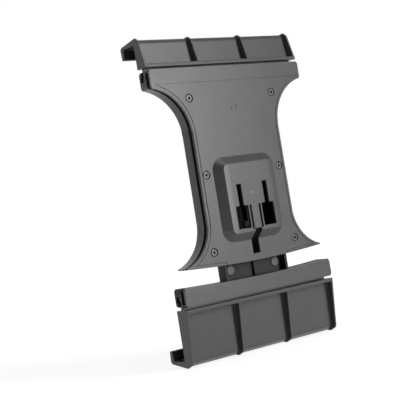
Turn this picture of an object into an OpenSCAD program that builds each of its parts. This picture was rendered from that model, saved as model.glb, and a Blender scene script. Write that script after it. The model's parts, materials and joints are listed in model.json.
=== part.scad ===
// Sprung holder that grips a flat device between two jaws.
// A two-shell body has a socket for an arm on its front and carries the fixed upper jaw.
// A carriage with the lower jaw slides out of the body's lower edge against two springs.
// X runs across the holder, Z runs up and -Y points to the arm.
// The origin lies on the seat plane that the device's back rests on, on the centre line.

/* [Body outline] */
// Height of the body's top edge above the origin
body_top = 77.3; // [72:0.1:90]
// Depth of the body's bottom edge below the origin, on the centre line
body_drop = 42.6; // [40:0.1:50]
// Half of the width of the upper and the lower cross bar
bar_half_w = 57.6; // [54:0.1:66]
// Height of the upper cross bar at its ends
bar_h = 11.2; // [10:0.1:14]
// Half of the width of the waist
waist_half_w = 33.5; // [32.5:0.1:36]
// Half of the width over the two pointed tips of the bottom edge
foot_half_w = 52.5; // [48:0.1:56]
// Radius of the concave flare under the upper cross bar
upper_flare_r = 29; // [24:0.1:32]
// Radius of the concave flare above the bottom edge
lower_flare_r = 26.2; // [22:0.1:28]
// How far the bottom edge bows down between its tips
edge_bow = 2; // [1:0.1:3]
// Radius of the cross bars' corners
corner_r = 2; // [1:0.1:3]
// Radius of the rounded tips of the bottom edge
tip_r = 0.42; // [0.3:0.01:0.6]

/* [Shells] */
// Distance from the seat plane to the front edge of the rear shell
shell_depth = 7.4; // [7.2:0.1:8.4]
// Height of the recessed band between the rear shell and the front cover
band_h = 2.4; // [2.2:0.1:3]
// Thickness of the front cover's face
cover_t = 1.6; // [1.4:0.1:2]
// Thickness of the rear shell's side wall
wall_t = 2; // [1.6:0.1:2.4]
// Thickness of the rear shell's floor
floor_t = 1.3; // [1.2:0.1:1.4]
// How far the cover's skirt stands back from the outline
skirt_inset = 2; // [1.2:0.1:2.4]
// Thickness of the cover's skirt
skirt_t = 1.5; // [1.2:0.1:1.8]
// Height of the lip that closes the band along the jaw
lip_band_h = 1.4; // [1.2:0.1:2]
// Thickness of the low ribs inside the rear shell
rib_t = 1.2; // [1:0.1:1.6]
// Height of those ribs above the floor
rib_h = 2.4; // [1.8:0.1:2.8]

/* [Cover line] */
// Distance from the outline to the fine line round the cover's panel
line_inset = 1.6; // [1.2:0.1:2.4]
// Width of the fine line
line_w = 0.5; // [0.4:0.1:0.8]
// Depth of the fine line
line_depth = 0.35; // [0.2:0.05:0.5]
// Distance from the top edge down to the fine line
line_drop = 9; // [8:0.1:10]
// Radius of the ring-shaped gate mark above the boss
gate_mark_r = 2.4; // [1.5:0.1:3]
// Distance from the top edge down to the gate mark's centre
gate_mark_drop = 26.3; // [24:0.1:28]
// Depth of the gate mark
gate_mark_depth = 0.2; // [0.1:0.05:0.3]

/* [Arm boss] */
// Half of the boss's width at its foot
boss_half_w = 23.6; // [22.5:0.1:24.2]
// Height of the boss's foot above the origin
boss_up = 21.9; // [21:0.1:24]
// Depth of the boss's foot below the origin
boss_down = 29.6; // [29:0.1:32]
// How far the boss stands out of the cover
boss_h = 5.2; // [4.8:0.1:6.5]
// Corner radius of the boss at its foot
boss_corner_r = 8; // [7.6:0.1:9]
// How far each wall of the boss leans in from foot to top
boss_lean = 4.8; // [4:0.1:5]
// Thickness of the boss's top
boss_top_t = 1.8; // [1.5:0.1:2.2]
// Thickness of the boss's sloped walls, measured along the cover
boss_wall_t = 2.4; // [2:0.1:2.5]

/* [Arm socket] */
// Distance between the centres of the two T slots
slot_pitch = 20; // [19:0.1:21]
// Width of the narrow neck of a T slot
neck_w = 3.3; // [3:0.1:4]
// Length of the narrow neck
neck_h = 13.2; // [11:0.1:14]
// Width of the window where an arm's T head goes in
window_w = 9.5; // [8.5:0.1:9.8]
// Height of the window
window_h = 13.7; // [12.5:0.1:14]
// Depth of the windows' top edge below the origin
window_drop = 8.8; // [8.4:0.1:9.2]
// Width of the flexible tongue between the windows
tongue_w = 5.7; // [5:0.1:6]
// Length of the tongue
tongue_l = 14.5; // [14.2:0.1:15]
// Width of the slits beside the tongue
slit_w = 1.4; // [1.2:0.1:1.6]
// Width of the release slot below the tongue
release_w = 5.4; // [4.8:0.1:5.6]
// Length of the release slot
release_l = 15; // [13:0.1:15.5]
// Radius of the round nub on the boss
nub_r = 1.6; // [1:0.1:1.8]
// How far the nub stands out
nub_h = 0.6; // [0.3:0.1:0.8]
// Distance from the windows' top edge up to the nub
nub_rise = 6.8; // [5:0.1:9]

/* [Cover screws] */
// Distance of the upper and lower screws from the centre line
outer_screw_x = 32; // [31:0.1:33]
// Distance of the middle screws from the centre line
middle_screw_x = 28.5; // [28.4:0.1:29.2]
// Distance of the upper screws below the top edge
upper_screw_drop = 18.4; // [17:0.1:20]
// Height of the middle screws above the origin
middle_screw_z = 12.5; // [10:0.1:16]
// Distance of the lower screws above the bottom edge
lower_screw_rise = 9.2; // [8.8:0.1:10]
// Radius of the screw's shank
screw_r = 1.3; // [1.1:0.05:1.4]
// Radius of the screw's head
screw_head_r = 2.15; // [2:0.05:2.3]
// Height of the screw's head
screw_head_h = 1; // [0.8:0.1:1]
// Length of the shank
screw_l = 6.4; // [5:0.1:6.6]
// Depth of the counterbore round the head
counterbore_depth = 1.2; // [1.1:0.1:1.4]
// Radius of the posts that take the screws
screw_post_r = 3.2; // [2.8:0.1:3.4]

/* [Strap] */
// Half of the strap's width over its flanges
strap_half_w = 24.45; // [23.5:0.05:24.6]
// Thickness of the strap's flanges
flange_t = 1.7; // [1.4:0.1:2]
// Distance from the seat plane to the strap's front floor
strap_floor = 4.8; // [4.6:0.1:5]
// Thickness of the strap's floor
strap_floor_t = 2; // [1.6:0.1:2]
// Height of the strap's top end above the origin
strap_top = 18.6; // [17.5:0.1:19]
// Width of the rib along the strap's middle
strap_rib_w = 1; // [0.8:0.1:1.4]
// Height of that rib
strap_rib_h = 1.7; // [1:0.1:2]
// Radius of the post that stops the strap
stop_r = 2; // [1.6:0.1:2.2]
// Depth of the stop post's axis below the origin
stop_drop = 20; // [18:0.1:21]
// Travel of the carriage inwards from where it stands
travel_in = 9; // [6:0.1:9]
// Travel of the carriage outwards from where it stands
travel_out = 30; // [24:0.1:32]
// Distance of the round glides from the centre line
glide_x = 17.7; // [15:0.1:18]
// Depth of the lower glides below the origin
glide_drop = 46; // [45:0.1:47]
// Distance from the lower glides up to the upper glides
glide_pitch = 54; // [50:0.1:55]
// Radius of a glide's faces
glide_r = 3; // [2.6:0.1:3.2]

/* [Carriage bar] */
// Depth of the lower cross bar's bottom edge below the origin
carriage_drop = 61.7; // [61:0.1:66]
// Gap between the body's bottom edge and the lower cross bar, on the centre line
rest_gap = 9.4; // [9.4:0.1:10]
// How far the lower cross bar's top edge dips between its ends
carriage_bow = 1.5; // [1:0.1:2]

/* [Jaws] */
// How far each jaw's ends stand out past its cross bar
jaw_overhang = 0.4; // [0:0.1:1]
// Gap between a cross bar and its jaw
jaw_gap = 1.6; // [1:0.1:2]
// How far each jaw's tongue stops short of its cross bar's ends
tongue_inset = 1.2; // [0.3:0.1:2]
// Reach of the upper jaw beyond its cross bar
upper_reach = 20.3; // [18:0.1:24]
// Reach of the lower jaw beyond its cross bar
lower_reach = 35.7; // [30:0.1:40]
// Depth of the upper jaw at its foot, in front of the seat plane
upper_root = 10; // [9.4:0.1:11.4]
// Depth of the upper jaw at its ridge
upper_ridge = 5.6; // [5:0.1:7]
// Depth of the lower jaw at its foot
lower_root = 11.2; // [9.4:0.1:11.4]
// Depth of the lower jaw at its ridge
lower_ridge = 7.8; // [6.5:0.1:8.5]
// Thickness of the ledge under the device's edge
ledge_t = 4; // [3.4:0.1:4.6]
// Clear depth from the seat plane to the inside of the lip
lip_depth = 10.8; // [10:0.1:12]
// Thickness of the lip
lip_t = 3.4; // [2.8:0.1:4]
// Height of the lip, from the ridge to the lip's end
lip_h = 10.4; // [9:0.1:12]
// Height of the plain strip at the jaw's foot
strip_h = 2.3; // [1.6:0.1:3]
// Thickness of the ribs between the pockets
jaw_rib_t = 1.1; // [0.9:0.1:1.6]
// Depth of the pockets at the jaw's foot
pocket_root = 4.5; // [3:0.1:4.6]
// Depth of the pockets at the ridge
pocket_ridge = 3; // [2:0.1:3.2]
// How far the ribs stand proud on the ridge
ridge_proud = 0.6; // [0.3:0.1:0.9]

/* [Jaw joint] */
// Distance from the seat plane to the middle of the tongue and groove
groove_y = 4.1; // [4:0.05:4.3]
// Width of the groove's neck
groove_neck_w = 2.4; // [2:0.1:2.8]
// Width of the groove's chamber
groove_head_w = 4.5; // [4:0.1:4.6]
// Height of the groove's neck
groove_neck_h = 3.3; // [2.8:0.1:3.6]
// Height of the groove's chamber
groove_head_h = 3; // [2.6:0.1:3]
// Distance of the grub screws from the centre line
grub_x = 44; // [41:0.1:46]
// Radius of the grub screws
grub_r = 1; // [0.8:0.05:1.1]
// Length of the grub screws
grub_l = 4; // [3:0.1:4.4]

/* [Carriage screws] */
// Distance of the outer carriage screws from the centre line
carriage_screw_x = 50; // [48:0.1:51]
// Distance between the carriage screws of one side
carriage_screw_pitch = 14; // [13:0.1:16]
// Radius of the carriage screws' shank
small_screw_r = 1; // [0.8:0.05:1.1]
// Radius of the carriage screws' head
small_head_r = 1.8; // [1.5:0.05:1.8]
// Height of the carriage screws' head
small_head_h = 0.8; // [0.6:0.1:0.9]
// Length of the carriage screws' shank
small_screw_l = 7.6; // [7:0.1:8]

/* [Pads] */
// Thickness of the pads behind the device
pad_t = 0.8; // [0.7:0.05:0.85]
// How far those pads stand out of the shell
pad_proud = 0.3; // [0.2:0.05:0.4]
// Height of the seat pads
seat_pad_h = 9; // [7:0.1:10]
// Height of the carriage's pad
carriage_pad_h = 5; // [4:0.1:5.6]
// Thickness of the jaws' rubber lining
lining_t = 0.7; // [0.5:0.05:0.8]
// Distance of the lining's ends from the jaws' ends
lining_inset = 3; // [2:0.1:5]

/* [Springs] */
// Distance of the springs from the centre line
spring_x = 12; // [10:0.1:14]
// Outer radius of a spring's coil
coil_r = 2; // [1.8:0.05:2]
// Radius of the spring's wire
wire_r = 0.4; // [0.3:0.02:0.45]
// Radius of the posts that hold the springs
spring_post_r = 1.5; // [1.2:0.05:1.6]
// Distance from the strap's top end down to its spring posts
strap_post_drop = 2.6; // [2.4:0.1:4]
// Height of the body's spring posts above the origin
body_post_z = 58; // [54:0.1:60]

/* [Fit] */
// Gap between pieces that slide on each other
slide_gap = 0.3; // [0.25:0.05:0.4]
// Gap round the tongue in its groove
groove_gap = 0.2; // [0.15:0.05:0.25]
// Gap round a screw's shank
screw_gap = 0.05; // [0.02:0.01:0.08]

/* [Hidden] */
$fn = 64;

plastic_grey = [0.33, 0.33, 0.34];
dark_grey = [0.22, 0.22, 0.23];
pale_grey = [0.45, 0.45, 0.46];
rubber_black = [0.08, 0.08, 0.08];
steel_grey = [0.55, 0.55, 0.56];

// Overlap that makes a cut or a joined form run past its neighbour
over = 1;
// Number of chords in a rounded corner of a profile
arc_steps = 6;

// Depths in front of the seat plane
shell_back = pad_proud;
shell_floor = shell_back + floor_t;
cover_in = shell_depth + band_h;
cover_out = cover_in + cover_t;
boss_out = cover_out + boss_h;
boss_in = boss_out - boss_top_t;
screw_tip = cover_out - counterbore_depth - screw_l;
strap_front = cover_in - 2 * slide_gap;
strap_back = shell_floor + slide_gap;

// Corner centres of the boss
boss_cx = boss_half_w - boss_corner_r;
boss_cz_top = boss_up - boss_corner_r;
boss_cz_bottom = -boss_down + boss_corner_r;

// Body outline
bar_foot_x = bar_half_w - corner_r;
bar_bottom = body_top - bar_h;
tip_x = foot_half_w - tip_r;
tip_z = -body_drop + edge_bow;
upper_span = bar_foot_x - waist_half_w;
lower_span = tip_x - waist_half_w;
upper_flare_z = bar_bottom - sqrt(2 * upper_flare_r * upper_span - upper_span * upper_span);
lower_flare_z = tip_z + 2 * tip_r + sqrt(2 * lower_flare_r * lower_span - lower_span * lower_span);
edge_r = (foot_half_w * foot_half_w + edge_bow * edge_bow) / (2 * edge_bow);
pocket_top = body_top - groove_neck_h - groove_head_h - wall_t - over;

// Carriage bar
carriage_top = -body_drop - rest_gap;
carriage_edge_r = (bar_half_w * bar_half_w + carriage_bow * carriage_bow) / (2 * carriage_bow);

// Screw places as [x, z] on the right side
screw_places = [
    [outer_screw_x, body_top - upper_screw_drop],
    [middle_screw_x, middle_screw_z],
    [outer_screw_x, -body_drop + lower_screw_rise]];
small_screw_xs = [carriage_screw_x, carriage_screw_x - carriage_screw_pitch];
small_screw_z = -carriage_drop + groove_neck_h + groove_head_h + small_head_r + slide_gap / 3;

// Seat pads as [height above the origin, half of the width]
seat_pad_rows = [
    [bar_bottom - seat_pad_h, outer_screw_x + seat_pad_h / 2],
    [0, boss_half_w],
    [-body_drop + lower_screw_rise, outer_screw_x]];
carriage_pad_z = -carriage_drop + carriage_pad_h;
carriage_pad_half_w = small_screw_xs[1] - small_head_r - pad_t;

// Rails beside the strap, stop slot and spring posts
rail_in = strap_half_w + slide_gap;
rail_t = rib_t;
rail_top = lower_flare_z;
stop_z = -stop_drop;
stop_slot_half_w = stop_r + slide_gap;
strap_post_z = strap_top - strap_post_drop;
spring_y = cover_in - slide_gap - coil_r - wire_r;

// Jaw form, shared by both jaws
jaw_half_w = bar_half_w + jaw_overhang;
jaw_back = lining_t;
crest_y = 2.5;
ridge_drop = 2.2;
nose_drop = 2.6;
lip_taper = 0.4;
groove_mouth = groove_neck_h + groove_head_h;
rib_xs = [-jaw_half_w / 3, jaw_half_w / 3];

// Small helpers
function unit(v) = v / norm(v);
function turned(v, t) = [v.x * cos(t) - v.y * sin(t), v.x * sin(t) + v.y * cos(t)];
function flat(p) = [p.x, p.y];

// Points of one corner b, between a and c, rounded to radius r
function corner_points(a, b, c, r) =
    r == 0 ? [b] :
    let(
        u = unit(a - b),
        w = unit(c - b),
        half = acos(u * w) / 2,
        centre = b + unit(u + w) * r / sin(half),
        start = b + u * r / tan(half) - centre,
        turn = -sign(u.x * w.y - u.y * w.x) * (180 - 2 * half))
    [for (i = [0:arc_steps]) centre + turned(start, turn * i / arc_steps)];

// Closed outline whose corners are given as [x, y, radius]
function rounded(corners) =
    let(n = len(corners))
    [for (i = [0:n - 1])
        each corner_points(flat(corners[(i + n - 1) % n]), flat(corners[i]),
            flat(corners[(i + 1) % n]), corners[i][2])];

// An X-Z outline made a slab between two depths in front of the seat plane
module slab(depth_a, depth_b) {
    translate([0, -depth_a, 0])
        rotate([90, 0, 0])
            linear_extrude(depth_b - depth_a)
                children();
}

// A Y-Z profile drawn out along X
module across(x_a, x_b) {
    translate([x_a, 0, 0])
        rotate([90, 0, 90])
            linear_extrude(x_b - x_a)
                children();
}

// A round form whose axis starts at a depth and runs back towards the seat
module on_axis(x, depth, z) {
    translate([x, -depth, z])
        rotate([-90, 0, 0])
            children();
}

module both_sides() {
    children();
    mirror([1, 0, 0]) children();
}

module rounded_rect(half_w, z_low, z_high, r) {
    translate([-half_w + r, z_low]) square([2 * (half_w - r), z_high - z_low]);
    translate([-half_w, z_low + r]) square([2 * half_w, z_high - z_low - 2 * r]);
    for (x = [-half_w + r, half_w - r], z = [z_low + r, z_high - r])
        translate([x, z]) circle(r = r);
}

// A bar with round ends, in X and Z
module round_bar(z, half_w, h) {
    translate([-half_w + h / 2, z - h / 2]) square([2 * half_w - h, h]);
    for (x = [-half_w + h / 2, half_w - h / 2])
        translate([x, z]) circle(r = h / 2);
}

// The body's outline moved in by inset, without its rounded tips
module body_field(inset = 0) {
    side_x = waist_half_w - inset;
    difference() {
        intersection() {
            union() {
                rounded_rect(bar_half_w - inset, bar_bottom + inset, body_top - inset, corner_r);
                translate([-bar_foot_x + inset, 0])
                    square([2 * (bar_foot_x - inset), bar_bottom + bar_h / 2]);
                translate([-tip_x + inset, -body_drop - over])
                    square([2 * (tip_x - inset), body_drop + 2 * over]);
            }
            translate([0, edge_r - body_drop]) circle(r = edge_r - inset, $fn = 1440);
        }
        both_sides() {
            translate([waist_half_w + upper_flare_r, upper_flare_z])
                circle(r = upper_flare_r + inset, $fn = 180);
            translate([waist_half_w + lower_flare_r, lower_flare_z])
                circle(r = lower_flare_r + inset, $fn = 180);
            translate([side_x, lower_flare_z])
                square([bar_half_w, upper_flare_z - lower_flare_z]);
        }
    }
}

// The body's full outline with its rounded tips
module body_outline() {
    body_field();
    both_sides() translate([tip_x, tip_z + tip_r]) circle(r = tip_r);
}

// Panel outline that the fine line runs round
module panel_field(inset) {
    intersection() {
        body_field(inset);
        translate([-bar_half_w, -body_drop - over])
            square([2 * bar_half_w, body_drop + over + body_top - line_drop - inset + line_inset]);
    }
    translate([-strap_half_w + inset - line_inset, -body_drop - over])
        square([2 * (strap_half_w - inset + line_inset), 2 * wall_t + over]);
}

// Where the strap leaves the body
module mouth() {
    translate([-rail_in, -body_drop - over])
        square([2 * rail_in, 3 * wall_t + over]);
}

// Radius of the boss's corners at a depth
function boss_r(depth) = boss_corner_r - boss_lean * (depth - cover_out) / boss_h;

// The boss's form between two depths, its walls moved in by inset
module boss_form(depth_a, depth_b, inset) {
    r_a = boss_r(depth_a) - inset;
    r_b = boss_r(depth_b) - inset;
    across(-boss_cx, boss_cx)
        polygon([
            [-depth_a, boss_cz_bottom - r_a],
            [-depth_a, boss_cz_top + r_a],
            [-depth_b, boss_cz_top + r_b],
            [-depth_b, boss_cz_bottom - r_b]]);
    translate([0, 0, boss_cz_bottom])
        linear_extrude(boss_cz_top - boss_cz_bottom)
            polygon([
                [-boss_cx - r_a, -depth_a],
                [boss_cx + r_a, -depth_a],
                [boss_cx + r_b, -depth_b],
                [-boss_cx - r_b, -depth_b]]);
    for (x = [-boss_cx, boss_cx], z = [boss_cz_bottom, boss_cz_top])
        translate([x, -depth_a, z])
            rotate([90, 0, 0])
                cylinder(h = depth_b - depth_a, r1 = r_a, r2 = r_b);
}

// Windows, necks and slits of the arm socket, and the release slot's upper end
module socket_cuts() {
    both_sides() {
        translate([slot_pitch / 2 - window_w / 2, -window_drop - window_h])
            square([window_w, window_h]);
        translate([slot_pitch / 2 - neck_w / 2, -window_drop - over])
            square([neck_w, neck_h + over]);
        translate([tongue_w / 2, -window_drop - tongue_l])
            square([slit_w, tongue_l]);
    }
}

module release_slot() {
    translate([-release_w / 2, -window_drop - tongue_l - release_l])
        square([release_w, release_l]);
}

// Hole for a countersunk-topped counterbore, from the cover's face inwards
module cover_screw_hole() {
    rim = 0.4;
    bore = screw_head_r + screw_gap * 3;
    rotate_extrude()
        polygon([
            [0, -over],
            [bore + rim + over, -over],
            [bore, rim],
            [bore, counterbore_depth],
            [screw_r + screw_gap, counterbore_depth],
            [screw_r + screw_gap, 3 * cover_t + over],
            [0, 3 * cover_t + over]]);
}

// Screw along +Z with its head's underside at the origin
module cross_screw(shank_r, head_r, head_h, shank_l) {
    edge = head_h / 3;
    recess_w = head_r / 3;
    recess_l = head_r * 1.25;
    difference() {
        rotate_extrude()
            polygon([
                [0, -head_h],
                [head_r - edge, -head_h],
                [head_r, -head_h + edge],
                [head_r, 0],
                [shank_r, 0],
                [shank_r, shank_l - shank_r],
                [0, shank_l]]);
        for (a = [45, 135])
            rotate([0, 0, a])
                translate([-recess_l / 2, -recess_w / 2, -head_h - over])
                    cube([recess_l, recess_w, over + head_h * 0.7]);
    }
}

// Tongue and groove section in Y and Z, with Z counted from the cross bar's edge outwards
module groove_section() {
    translate([-groove_y - groove_neck_w / 2, -groove_neck_h - over])
        square([groove_neck_w, groove_neck_h + 2 * over]);
    translate([-groove_y - groove_head_w / 2, -groove_mouth])
        square([groove_head_w, groove_head_h]);
}

module tongue_section() {
    neck = groove_neck_w - 2 * groove_gap;
    head = groove_head_w - 2 * groove_gap;
    translate([-groove_y - neck / 2, -groove_neck_h - 2 * groove_gap])
        square([neck, groove_neck_h + jaw_gap + strip_h / 2 + 2 * groove_gap]);
    translate([-groove_y - head / 2, -groove_mouth + groove_gap])
        square([head, groove_head_h - 2 * groove_gap]);
}

// Jaw places: Z counted from the cross bar's edge outwards
module upper_place() {
    translate([0, 0, body_top]) children();
}

module lower_place() {
    translate([0, 0, -carriage_drop]) mirror([0, 0, 1]) children();
}

// Inside and lip of a jaw's section, common to its ribs and its skin
function jaw_inside(reach) = [
    [lip_depth + lip_t, reach - nose_drop, 2.2],
    [lip_depth + lip_t - lip_taper, reach - lip_h, 1.1],
    [lip_depth, reach - lip_h, 1],
    [lip_depth, reach - ledge_t, 1.2],
    [-jaw_back, reach - ledge_t, 1.5],
    [-jaw_back, jaw_gap, 0.3]];

function jaw_rib_outline(reach, root, ridge) = concat([
    [-root, jaw_gap, 0.4],
    [-ridge, reach - ridge_drop, 3],
    [-crest_y, reach, 2]], jaw_inside(reach));

function jaw_skin_outline(reach, root, ridge) = concat([
    [-root + pocket_root, jaw_gap, 0],
    [-ridge + pocket_ridge, reach - ridge_drop - 1, 3],
    [-crest_y + 1.4, reach - ridge_proud, 2]], jaw_inside(reach));

module jaw(reach, root, ridge) {
    difference() {
        union() {
            across(-jaw_half_w, jaw_half_w)
                polygon(rounded(jaw_skin_outline(reach, root, ridge)));
            for (x = rib_xs)
                across(x - jaw_rib_t / 2, x + jaw_rib_t / 2)
                    polygon(rounded(jaw_rib_outline(reach, root, ridge)));
            both_sides()
                across(jaw_half_w - jaw_rib_t, jaw_half_w)
                    polygon(rounded(jaw_rib_outline(reach, root, ridge)));
            across(-jaw_half_w, jaw_half_w)
                intersection() {
                    polygon(rounded(jaw_rib_outline(reach, root, ridge)));
                    translate([-root - over, 0]) square([root + over, jaw_gap + strip_h]);
                }
            across(-bar_half_w + tongue_inset, bar_half_w - tongue_inset) tongue_section();
        }
        both_sides()
            on_axis(grub_x, cover_in, -groove_neck_h - groove_head_h / 2)
                cylinder(h = cover_in, r = grub_r + screw_gap);
    }
}

// The space a jaw's inside encloses, moved in by inset and let down by drop
module jaw_bay(reach, inset, drop) {
    foot = jaw_gap + strip_h + lining_t;
    polygon(rounded([
        [-jaw_back + inset, foot - drop, 0],
        [-jaw_back + inset, reach - ledge_t - inset, 1.5 - inset],
        [lip_depth - inset, reach - ledge_t - inset, 1.2 - inset],
        [lip_depth - inset, reach - lip_h + 1.4 - drop, 0]]));
}

module jaw_lining(reach) {
    across(-jaw_half_w + lining_inset, jaw_half_w - lining_inset)
        difference() {
            jaw_bay(reach, 0, 0);
            jaw_bay(reach, lining_t, 2 * lip_h);
        }
}

module grub_screw() {
    difference() {
        cylinder(h = grub_l, r = grub_r);
        translate([0, 0, grub_l - 0.8]) cylinder(h = over, r = grub_r / 2, $fn = 6);
    }
}

module grub_screws() {
    both_sides()
        on_axis(grub_x, shell_back + grub_l + slide_gap, -groove_neck_h - groove_head_h / 2)
            grub_screw();
}

module grub_holes() {
    both_sides()
        on_axis(grub_x, groove_y, -groove_neck_h - groove_head_h / 2)
            cylinder(h = groove_y + over, r = grub_r + screw_gap);
}

// Rear shell
module rear_shell() {
    color(plastic_grey)
        difference() {
            union() {
                difference() {
                    slab(shell_back, shell_depth) body_outline();
                    slab(shell_floor, shell_depth + over)
                        intersection() {
                            body_field(wall_t);
                            translate([-bar_half_w, -body_drop])
                                square([2 * bar_half_w, body_drop + pocket_top]);
                        }
                }
                shell_ribs();
                both_sides() {
                    slab(shell_floor - floor_t / 2, shell_depth)
                        intersection() {
                            body_field();
                            translate([rail_in, -body_drop - over])
                                square([rail_t, body_drop + over + rail_top]);
                        }
                    for (p = screw_places)
                        on_axis(p.x, shell_depth, p.y)
                            cylinder(h = shell_depth - shell_floor + floor_t / 2, r = screw_post_r);
                    on_axis(spring_x, strap_front, body_post_z)
                        cylinder(h = strap_front - shell_floor + floor_t / 2, r = spring_post_r);
                    on_axis(spring_x, spring_y - 2 * wire_r, body_post_z)
                        cylinder(h = spring_y - 2 * wire_r - shell_floor + floor_t / 2,
                            r = spring_post_r + rib_t);
                }
                on_axis(0, strap_floor + 2 * slide_gap, stop_z)
                    cylinder(h = strap_floor + 2 * slide_gap - shell_floor + floor_t / 2, r = stop_r);
            }
            slab(shell_floor, shell_depth + over) mouth();
            upper_place() {
                across(-bar_half_w - over, bar_half_w + over) groove_section();
                grub_holes();
            }
            both_sides()
                for (p = screw_places)
                    on_axis(p.x, shell_depth + over, p.y)
                        cylinder(h = shell_depth + over - screw_tip + slide_gap, r = screw_r + screw_gap);
            slab(0, pad_t)
                for (row = seat_pad_rows) round_bar(row[0], row[1], seat_pad_h);
        }
}

// Low ribs that stiffen the shell's floor above the strap
module shell_ribs() {
    low = strap_top + travel_in + 2 * rib_t;
    cross_zs = [low, (low + pocket_top) / 2];
    slab(shell_floor - floor_t / 2, shell_floor + rib_h)
        intersection() {
            body_field(wall_t / 2);
            union() {
                for (z = cross_zs)
                    translate([-bar_half_w, z]) square([2 * bar_half_w, rib_t]);
                for (x = [-2 * spring_x, 0, 2 * spring_x])
                    translate([x - rib_t / 2, low]) square([rib_t, pocket_top - low + over]);
            }
        }
}

// Front cover with the arm boss
module front_cover() {
    color(plastic_grey) {
        difference() {
            union() {
                slab(cover_in, cover_out) body_outline();
                boss_form(cover_out - cover_t / 2, boss_out, 0);
                cover_skirt();
                slab(shell_depth, cover_in + cover_t / 2)
                    intersection() {
                        body_outline();
                        translate([-bar_half_w, body_top - lip_band_h])
                            square([2 * bar_half_w, lip_band_h]);
                    }
                both_sides()
                    for (p = screw_places)
                        on_axis(p.x, cover_in + cover_t / 2, p.y)
                            cylinder(h = band_h + cover_t / 2, r = screw_post_r);
            }
            boss_form(cover_in - over, boss_in, boss_wall_t);
            slab(boss_in - over, boss_out + over) socket_cuts();
            slab(shell_depth, boss_out + over) release_slot();
            both_sides()
                for (p = screw_places)
                    on_axis(p.x, cover_out, p.y) cover_screw_hole();
            slab(cover_out - line_depth, cover_out + boss_h / 2)
                difference() {
                    panel_field(line_inset);
                    panel_field(line_inset + line_w);
                }
            slab(cover_out - gate_mark_depth, cover_out + boss_h / 2)
                translate([0, body_top - gate_mark_drop])
                    difference() {
                        circle(r = gate_mark_r);
                        circle(r = gate_mark_r - line_w);
                    }
        }
        nub();
    }
}

module cover_skirt() {
    slab(shell_depth, cover_in + cover_t / 2)
        difference() {
            body_field(skirt_inset);
            body_field(skirt_inset + skirt_t);
            mouth();
        }
}

module nub() {
    ball_r = (nub_r * nub_r + nub_h * nub_h) / (2 * nub_h);
    intersection() {
        translate([0, -boss_out + ball_r - nub_h, -window_drop + nub_rise])
            sphere(r = ball_r);
        on_axis(0, boss_out + over, -window_drop + nub_rise)
            cylinder(h = over + boss_top_t / 2, r = nub_r + over);
    }
}

module cover_screws() {
    color(steel_grey)
        both_sides()
            for (p = screw_places)
                on_axis(p.x, cover_out - counterbore_depth, p.y)
                    cross_screw(screw_r, screw_head_r, screw_head_h, screw_l);
}

module seat_pads() {
    color(rubber_black)
        slab(0, pad_t)
            for (row = seat_pad_rows) round_bar(row[0], row[1], seat_pad_h);
}

module upper_jaw() {
    color(plastic_grey)
        upper_place() jaw(upper_reach, upper_root, upper_ridge);
}

module upper_jaw_lining() {
    color(rubber_black)
        upper_place() jaw_lining(upper_reach);
}

module upper_grub_screws() {
    color(steel_grey)
        upper_place() grub_screws();
}

// Outline of the lower cross bar moved in by inset
module carriage_field(inset = 0) {
    difference() {
        rounded_rect(bar_half_w - inset, -carriage_drop + inset,
            carriage_top + carriage_bow - inset, corner_r);
        translate([0, carriage_top + carriage_edge_r]) circle(r = carriage_edge_r + inset, $fn = 1440);
    }
}

// Sliding strap and the rear half of the lower cross bar, moulded in one
module slide_carriage() {
    color(dark_grey)
        difference() {
            union() {
                slab(shell_back, shell_depth) carriage_field();
                slab(strap_floor - strap_floor_t, strap_floor) strap_outline();
                both_sides()
                    slab(strap_back, strap_front)
                        intersection() {
                            strap_outline();
                            translate([strap_half_w - flange_t, -carriage_drop])
                                square([flange_t, carriage_drop + strap_top]);
                        }
                slab(strap_floor - strap_floor_t / 2, strap_floor + strap_rib_h)
                    translate([-strap_rib_w / 2, carriage_top - wall_t])
                        square([strap_rib_w, stop_z - travel_in - 3 * stop_r - carriage_top + wall_t]);
                both_sides()
                    on_axis(spring_x, strap_front, strap_post_z)
                        cylinder(h = strap_front - strap_floor + strap_floor_t / 2, r = spring_post_r);
            }
            slab(strap_floor - strap_floor_t - over, strap_front + over) stop_slot();
            both_sides()
                for (z = [-glide_drop, -glide_drop + glide_pitch])
                    on_axis(glide_x, strap_floor + over, z)
                        cylinder(h = strap_floor_t + 2 * over, r = glide_r / 2 + screw_gap);
            lower_place() {
                across(-bar_half_w - over, bar_half_w + over) groove_section();
                grub_holes();
            }
            both_sides()
                for (x = small_screw_xs) {
                    on_axis(x, shell_depth + over, small_screw_z)
                        cylinder(h = shell_depth + over, r = small_screw_r + screw_gap);
                    on_axis(x, shell_back + small_head_h, small_screw_z)
                        cylinder(h = small_head_h + over, r = small_head_r + screw_gap);
                }
            slab(0, pad_t) round_bar(carriage_pad_z, carriage_pad_half_w, carriage_pad_h);
        }
}

module strap_outline() {
    translate([-strap_half_w, carriage_top - wall_t / 2])
        square([2 * strap_half_w, strap_top - carriage_top + wall_t / 2]);
}

// Slot in the strap's floor that runs along the body's stop post
module stop_slot() {
    low = stop_z - travel_in;
    high = stop_z + travel_out;
    translate([-stop_slot_half_w, low]) square([2 * stop_slot_half_w, high - low]);
    for (z = [low, high]) translate([0, z]) circle(r = stop_slot_half_w);
}

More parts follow.
